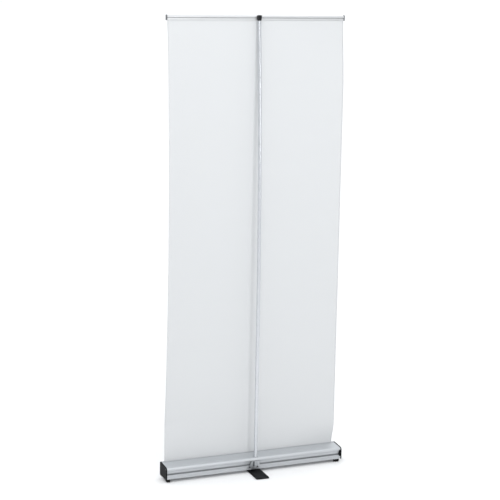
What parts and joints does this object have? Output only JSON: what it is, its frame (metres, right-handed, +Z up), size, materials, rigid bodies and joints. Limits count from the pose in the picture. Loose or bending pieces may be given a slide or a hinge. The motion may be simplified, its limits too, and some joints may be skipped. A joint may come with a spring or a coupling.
{
  "type": "roll-up banner stand",
  "caption": "Free-standing roll-up banner: a blank film drawn from a floor cassette to a clamp rail, held up by a bowed sectional pole behind it, on a swivel foot.",
  "frame": {"origin": "on the floor, at the middle of the bounding box", "axes": "+X along the casing to the right of someone facing the printed side, +Y to the rear where the pole stands, +Z up"},
  "size_m": [0.887, 0.187, 2.102],
  "materials": {
    "casing_aluminium": "natural anodised, satin",
    "rail_aluminium": "natural anodised, satin",
    "pole_aluminium": "drawn tube, satin anodised",
    "ferrule_aluminium": "drawn tube",
    "roller_aluminium": "mill finish",
    "banner_film": "matt white, slightly see-through polyester film",
    "cap_plastic": "fine grained black moulding",
    "rail_cap_plastic": "dark grey moulding",
    "bearing_plastic": "acetal",
    "anchor_plastic": "nylon",
    "foot_steel": "black powder coat, fine texture",
    "rubber": "matt",
    "socket_metal": "die cast, blasted",
    "zinc_steel": "zinc plated",
    "black_screw": "black oxide",
    "spring_steel": "oiled spring wire",
    "head_plastic": "black moulding",
    "clip_steel": "spring strip",
    "cord_elastic": "braided elastic cord"
  },
  "bodies": {
    "base": {"cassette_casing": "casing_aluminium", "end_cap_left": "cap_plastic", "end_cap_right": "cap_plastic", "end_cap_screws": "black_screw", "spring_shaft": "zinc_steel", "torsion_spring": "spring_steel", "idle_pin": "zinc_steel", "banner_leader": "banner_film", "banner_sheet": "banner_film", "pole_socket": "socket_metal", "socket_screws": "black_screw", "foot_bolt": "zinc_steel", "foot_spacer": "bearing_plastic", "foot_nut": "zinc_steel", "rubber_foot_front_left": "rubber", "rubber_foot_front_right": "rubber", "rubber_foot_rear_left": "rubber", "rubber_foot_rear_right": "rubber", "rubber_foot_screws": "zinc_steel"},
    "roller": {"roller_tube": "roller_aluminium", "roller_plug_left": "bearing_plastic", "roller_plug_right": "bearing_plastic", "spring_anchor": "anchor_plastic", "banner_roll": "banner_film"},
    "foot": {"swivel_foot": "foot_steel", "foot_pads": "rubber"},
    "pole_bottom": {"pole_end_sleeve": "cap_plastic", "pole_lower": "pole_aluminium", "ferrule_lower": "ferrule_aluminium", "shock_cord": "cord_elastic"},
    "pole_mid": {"pole_middle": "pole_aluminium", "ferrule_upper": "ferrule_aluminium"},
    "pole_top": {"pole_upper": "pole_aluminium", "pole_head": "head_plastic", "hook_clip": "clip_steel", "clip_rivet": "zinc_steel"},
    "rail": {"rail_back": "rail_aluminium", "rail_cap_left": "rail_cap_plastic", "rail_cap_right": "rail_cap_plastic"},
    "jaw": {"rail_jaw": "rail_aluminium"}
  },
  "joints": [
    {"name": "rail_drop", "type": "slide", "parent": "base", "child": "rail", "axis": [0, 0, -1], "range_m": [0, 1.996], "deforming": ["banner_sheet", "hook_clip"]},
    {"name": "roller_spin", "type": "hinge", "parent": "base", "child": "roller", "pos_m": [0, -0.06453, 0.046], "axis": [1, 0, 0], "range_deg": [0, 6324]},
    {"name": "jaw_open", "type": "hinge", "parent": "rail", "child": "jaw", "pos_m": [0, -0.08653, 2.09375], "axis": [-1, 0, 0], "range_deg": [0, 40]},
    {"name": "foot_swivel", "type": "hinge", "parent": "base", "child": "foot", "pos_m": [0, -0.05053, 0.005], "axis": [0, 0, 1], "range_deg": [0, 92]},
    {"name": "pole_lift", "type": "slide", "parent": "base", "child": "pole_bottom", "axis": [0, 0, 1], "range_m": [0, 0.06], "deforming": ["hook_clip"]},
    {"name": "middle_section_pull", "type": "slide", "parent": "pole_bottom", "child": "pole_mid", "axis": [0, 0, 1], "range_m": [0, 0.08], "stiffness_N_per_m": 40, "springref_m": -0.05, "deforming": ["shock_cord", "hook_clip"]},
    {"name": "upper_section_pull", "type": "slide", "parent": "pole_mid", "child": "pole_top", "axis": [0, -0.0332, 0.9994], "range_m": [0, 0.08], "stiffness_N_per_m": 40, "springref_m": -0.05, "deforming": ["shock_cord", "hook_clip"]}
  ],
  "couplings": [
    {"joint": "roller_spin", "follows": "rail_drop", "rad_per_m": 55.249}
  ]
}
